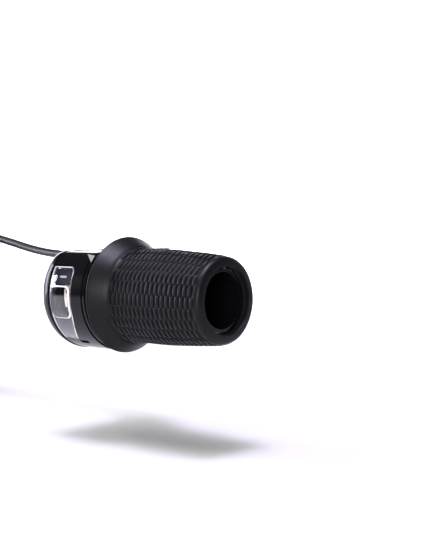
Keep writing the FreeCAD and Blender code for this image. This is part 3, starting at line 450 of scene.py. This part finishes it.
def lens_fall(x):
    """How far both faces of the window fall away from its middle line."""
    middle = (WINDOW_X[0] + WINDOW_X[1]) / 2
    return LENS_CROWN * ((x - middle) / (WINDOW_X[1] - middle)) ** 2


def lens_radius(x, s):
    """Outer face of the window: slightly crowned plate, raised magnifier, rounded rim."""
    rim = min(x - WINDOW_X[0], window_right(s) - x, WINDOW_S[1] - s, s - WINDOW_S[0])
    return (LENS_OUT_R - lens_fall(x) + PAD_RISE * eased(to_pad_edge(x, s) / LENS_EDGE)
            - LENS_RIM_FALL * (1 - eased(rim / LENS_EDGE)))


def lens_point(x, s, radius):
    """Point at a distance s up the window from its middle line."""
    return at_angle(x, radius, LENS_MID + math.degrees(math.asin(s / radius)))


def window_glass(glass, painted_highlight):
    """Clear window as one closed piece; its side walls, the right part of its magnifier step and its top and
    right rim are painted white as highlights.
    """
    rows = 150
    columns = 72
    shape = bmesh.new()
    spots = []
    for row in range(rows + 1):
        s = WINDOW_S[0] + (WINDOW_S[1] - WINDOW_S[0]) * row / rows
        left, right = WINDOW_X[0], window_right(s)
        spots.append([(left + (right - left) * column / columns, s) for column in range(columns + 1)])
    outer = [[shape.verts.new(lens_point(x, s, lens_radius(x, s))) for x, s in line] for line in spots]
    inner = [[shape.verts.new(lens_point(x, s, LENS_IN_R - lens_fall(x))) for x, s in line] for line in spots]
    for row in range(rows):
        for column in range(columns):
            pair = (row, column), (row, column + 1), (row + 1, column + 1), (row + 1, column)
            face = shape.faces.new([outer[r][c] for r, c in pair])
            shape.faces.new([inner[r][c] for r, c in reversed(pair)])
            x, s = spots[row][column]
            up_step = to_pad_edge(x, s) / LENS_EDGE
            step = x > PAD_X[0] + HIGHLIGHT_STEP_INSET and HIGHLIGHT_STEP_SHARE[0] < up_step < HIGHLIGHT_STEP_SHARE[1]
            rim = min(window_right(s) - x, WINDOW_S[1] - s) < LENS_EDGE * HIGHLIGHT_RIM_SHARE
            # Painted highlight: the step and the top and right rim take the white edge material.
            face.material_index = 1 if step or rim else 0
    loop = [(0, c) for c in range(columns)] + [(r, columns) for r in range(rows)]
    loop += [(rows, c) for c in range(columns, 0, -1)] + [(r, 0) for r in range(rows, 0, -1)]
    for (r0, c0), (r1, c1) in zip(loop, loop[1:] + loop[:1]):
        side = shape.faces.new([outer[r1][c1], outer[r0][c0], inner[r0][c0], inner[r1][c1]])
        # Painted highlight: every side wall takes the white edge material.
        side.material_index = 1
    made = piece("window_glass", shape, HOUSING, glass, 40)
    made.data.materials.append(painted_highlight)
    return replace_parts(made, "window_lens")


# ------------------------------------------------------------------ gear numbers
GEARS = 7
CLICK_DEG = 11.077
FIRST_DIGIT_AT = -5.5
DIGIT_INSET = 1.7
DIGIT_SIZE = 4.3
INK_HALF = 0.03
INK_LIFT = 0.04


def dial_digit(number, degrees, ink):
    """One printed number, bent round the dial."""
    words = bpy.data.curves.new("digit_%d" % number, "FONT")
    words.body = str(number)
    words.size = DIGIT_SIZE * MM
    words.align_x = "CENTER"
    words.align_y = "CENTER"
    words.extrude = INK_HALF * MM
    holder = bpy.data.objects.new("digit_holder", words)
    mesh = bpy.data.meshes.new_from_object(holder)
    bpy.data.objects.remove(holder)
    shape = bmesh.new()
    shape.from_mesh(mesh)
    bpy.data.meshes.remove(mesh)
    bmesh.ops.triangulate(shape, faces=shape.faces)
    bmesh.ops.subdivide_edges(shape, edges=shape.edges, cuts=2)
    middle = (min(v.co.y for v in shape.verts) + max(v.co.y for v in shape.verts)) / 2
    centre_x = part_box("number_ring")[0][0] / MM + DIGIT_INSET
    for vert in shape.verts:
        along = centre_x + vert.co.x / MM
        round_by = degrees + math.degrees((vert.co.y - middle) / MM / RING_R)
        vert.co = at_angle(along, RING_R + INK_LIFT + vert.co.z / MM, round_by)
    return piece("dial_number_%d" % number, shape, GRIP, ink, 30)


def dial_numbers():
    """The highest gear stands in the window at rest, and the others follow it upwards."""
    ink = dial_print("red_ink", "B3121C", "C81E26")
    for step in range(GEARS):
        dial_digit(GEARS - step, FIRST_DIGIT_AT + step * CLICK_DEG, ink)


# ------------------------------------------------------------------ cable casing
CASING_ROUTE = [(-7.0, 28.5, 15.0), (-27.0, 28.5, 15.0), (-48.0, 29.0, 14.2), (-69.0, 29.7, 15.9),
                (-90.0, 30.4, 20.0), (-112.0, 31.2, 23.6)]
COIL_AT = (-132.5, 31.5, 0.0)
COIL_TURNS = 4
COIL_OUTER_R = 25.0
COIL_INNER_R = 21.0
COIL_STEPS = 16
TAIL_Y = 36.0
TAIL_END_Z = -10.0


def coil_points():
    """Outer layer away from the route's side, inner layer back, and a quarter turn out to the tail."""
    points = []
    total = 2 * COIL_TURNS * COIL_STEPS
    half = total // 2
    # A quadratic spline runs inside its polygon by this share.
    inside = 0.75 + 0.25 * math.cos(math.tau / COIL_STEPS)
    for step in range(total + COIL_STEPS // 4 + 1):
        turn = math.tau * step / COIL_STEPS + math.pi / 2
        inward = min(1.0, max(0.0, (step - half + 3) / 4))
        radius = (COIL_OUTER_R + (COIL_INNER_R - COIL_OUTER_R) * inward) / inside
        pitch = 2 * CASING_R / COIL_STEPS
        y = COIL_AT[1] - pitch * step if step <= half else COIL_AT[1] - pitch * (total - step)
        if step > total:
            y = COIL_AT[1] + (TAIL_Y - COIL_AT[1]) * (step - total) / (COIL_STEPS // 4)
        points.append((COIL_AT[0] + radius * math.cos(turn), y, COIL_AT[2] + radius * math.sin(turn)))
    return points


def cable_casing():
    """The whole casing on one smooth line: along the bar, round its coil, down to its ferrule."""
    jacket = pvc_jacket()
    tail_x = COIL_AT[0] - COIL_INNER_R
    route = CASING_ROUTE + coil_points()
    route += [(tail_x, TAIL_Y, TAIL_END_Z * 0.55), (tail_x, TAIL_Y, TAIL_END_Z)]
    curve = bpy.data.curves.new("casing_line", "CURVE")
    curve.dimensions = "3D"
    curve.bevel_depth = CASING_R * MM
    curve.bevel_resolution = 5
    curve.resolution_u = 6
    curve.use_fill_caps = True
    spline = curve.splines.new("NURBS")
    spline.points.add(len(route) - 1)
    for point, place in zip(spline.points, route):
        point.co = [value * MM for value in place] + [1.0]
    spline.order_u = 3
    spline.use_endpoint_u = True
    cord = bpy.data.objects.new("cable_casing_line", curve)
    bpy.context.scene.collection.objects.link(cord)
    curve.materials.append(jacket)
    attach(cord, HOUSING)
    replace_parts(cord, "cable_casing", "cable_coil", "casing_end")
    return cord


# ------------------------------------------------------------------ stage
FLOOR_Z = -0.062
FLOOR_HALF = 2.2
FLOOR_TURN = 40
FLOOR_PROFILE = [(-1.2, 0.0), (0.55, 0.0), (0.72, 0.03), (0.85, 0.12), (0.9, 0.3), (0.91, 0.482)]
MIDDLE = (0.03, 0, 0)
# Name, place, what it points at, width, height, watts, colour, turn about its own axis.
LIGHTS = [
    ("overhead_softbox", (0.08, -0.12, 1.25), MIDDLE, 0.9, 0.9, 9, "FFFFFF", 0),
    ("flare_softbox", (0.08, -0.15, 1.2), MIDDLE, 0.3, 0.3, 15, "E0D8FA", 0),
    ("dial_softbox", (0.55, -0.85, 0.22), (0.004, -0.02, 0), 0.3, 0.3, 6, "FFFFFF", 0),
    ("shoulder_softbox", (-0.62, -0.49, 1.2), MIDDLE, 0.25, 0.25, 4, "FFFFFF", 0),
    ("window_strip", (-0.8, -0.515, 0.245), MIDDLE, 0.06, 0.28, 1.3, "FFFFFF", 20),
    ("rim_softbox", (-0.8, -0.22, 0.17), MIDDLE, 0.24, 0.50, 4.2, "E2DEF4", 28),
    ("backdrop_light", (-0.35, 0.55, 0.9), (-0.7, 0.9, 0.1), 1.4, 0.8, 26, "FFFFFF", 0),
]


def soft_light(name, place, target, width, height, power, colour, turn):
    """Rectangular softbox that points at its target."""
    lamp = bpy.data.lights.new(name, "AREA")
    lamp.shape = "RECTANGLE"
    lamp.size = width
    lamp.size_y = height
    lamp.energy = power
    lamp.color = linear(colour)[:3]
    obj = bpy.data.objects.new(name, lamp)
    obj.location = place
    bpy.context.scene.collection.objects.link(obj)
    obj.rotation_euler = (Vector(target) - obj.location).to_track_quat("-Z", "Y").to_euler()
    obj.rotation_euler.rotate_axis("Z", math.radians(turn))
    return lamp


def floor():
    """Pale floor that curves up into a backdrop behind the object."""
    shape = bmesh.new()
    verts = [shape.verts.new((-FLOOR_HALF, y, FLOOR_Z + up)) for y, up in FLOOR_PROFILE]
    edges = [shape.edges.new(pair) for pair in zip(verts, verts[1:])]
    made = bmesh.ops.extrude_edge_only(shape, edges=edges)
    moved = [item for item in made["geom"] if isinstance(item, bmesh.types.BMVert)]
    bmesh.ops.translate(shape, verts=moved, vec=(2 * FLOOR_HALF, 0, 0))
    bmesh.ops.rotate(shape, verts=shape.verts, cent=(0, 0, 0),
                     matrix=Matrix.Rotation(math.radians(FLOOR_TURN), 3, "Z"))
    mesh = bpy.data.meshes.new("floor")
    shape.to_mesh(mesh)
    shape.free()
    for face in mesh.polygons:
        face.use_smooth = True
    obj = bpy.data.objects.new("floor", mesh)
    bpy.context.scene.collection.objects.link(obj)
    mesh.materials.append(finish("pale_paper", {"Roughness": 0.85, "Base Color": linear("D2D2D0")})[0])


def camera():
    """Long lens from the rider's outboard side, a little above the bar."""
    right = Vector((0.76416, 0.64501, -0.004493))
    up = Vector((-0.03094, 0.04361, 0.99857))
    back = Vector((0.64428, -0.76293, 0.05328))
    data = bpy.data.cameras.new("camera")
    data.lens = 73.74
    data.sensor_width = 36.0
    data.clip_start = 0.01
    data.clip_end = 20.0
    obj = bpy.data.objects.new("camera", data)
    turn = Matrix((right, up, back)).transposed().to_4x4()
    obj.matrix_world = Matrix.Translation((0.356645, -0.333714, 0.036003)) @ turn
    bpy.context.scene.collection.objects.link(obj)
    bpy.context.scene.camera = obj


def lights():
    """Soft studio lights in weak air light; the backdrop's lamp spreads less than the others."""
    for row in LIGHTS:
        lamp = soft_light(*row)
    lamp.spread = math.radians(90)
    world = bpy.data.worlds.new("studio_air")
    world.use_nodes = True
    world.node_tree.nodes["Background"].inputs["Color"].default_value = linear("F4F5F7")
    world.node_tree.nodes["Background"].inputs["Strength"].default_value = 0.06
    bpy.context.scene.world = world
    bpy.context.scene.view_settings.view_transform = "Standard"


# ------------------------------------------------------------------ whole part
def dress():
    """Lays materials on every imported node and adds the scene's own pieces."""
    camera()
    cable_casing()
    lights()
    floor()
    rubber = moulded_rubber()
    grip_sleeve(rubber)
    grip_ribs(rubber)
    dial_numbers()
    window_glass(clear_polycarbonate(), moulded_edge())
    gloss = polished_abs()
    satin = satin_abs()
    zinc = metal("zinc_plated_steel", "7E8084", "9A9CA0", 0.28, 0.42)
    spring = metal("spring_steel", "8A8B8E", "A5A6A9", 0.22, 0.34)
    drawn = metal("drawn_aluminium", "B9BBBE", "D2D3D5", 0.25, 0.4)
    wire = stranded_wire()
    acetal = plain_polymer("natural_acetal", "D2D0C8", "E2E0D8", 0.35, 0.5)
    nylon = plain_polymer("filled_nylon", "141416", "1D1D20", 0.42, 0.58)
    finishes = {
        "housing_base": gloss, "housing_cover": gloss, "cable_hatch": satin,
        "indicator_bezel": navy_mask(),
        "index_mark": dial_print("pale_print", "8E9099", "A2A4AC"),
        "number_ring": dial_print("dial_white", "E6E2D4", "F2EFE4"),
        "adjuster_barrel": satin, "adjuster_ring": rubber,
        "cover_screw_1": zinc, "cover_screw_2": zinc, "hatch_screw": zinc,
        "clamp_screw": zinc, "clamp_nut": zinc,
        "detent_spring": spring, "end_washer": spring, "retaining_ring": spring,
        "thrust_washer": acetal, "cable_guide": acetal,
        "inner_cable": wire, "cable_wrap": wire, "cable_head": drawn, "wire_tail": wire,
        "nose_insert": metal("turned_brass", "B08D45", "C6A35A", 0.2, 0.32),
        "casing_ferrule": drawn, "end_ferrule": drawn, "crimp_cap": drawn,
        "grip_core": nylon, "cable_drum": nylon, "coil_tie": nylon,
    }
    for name, material in finishes.items():
        paint(bpy.data.objects[name], material)


dress()
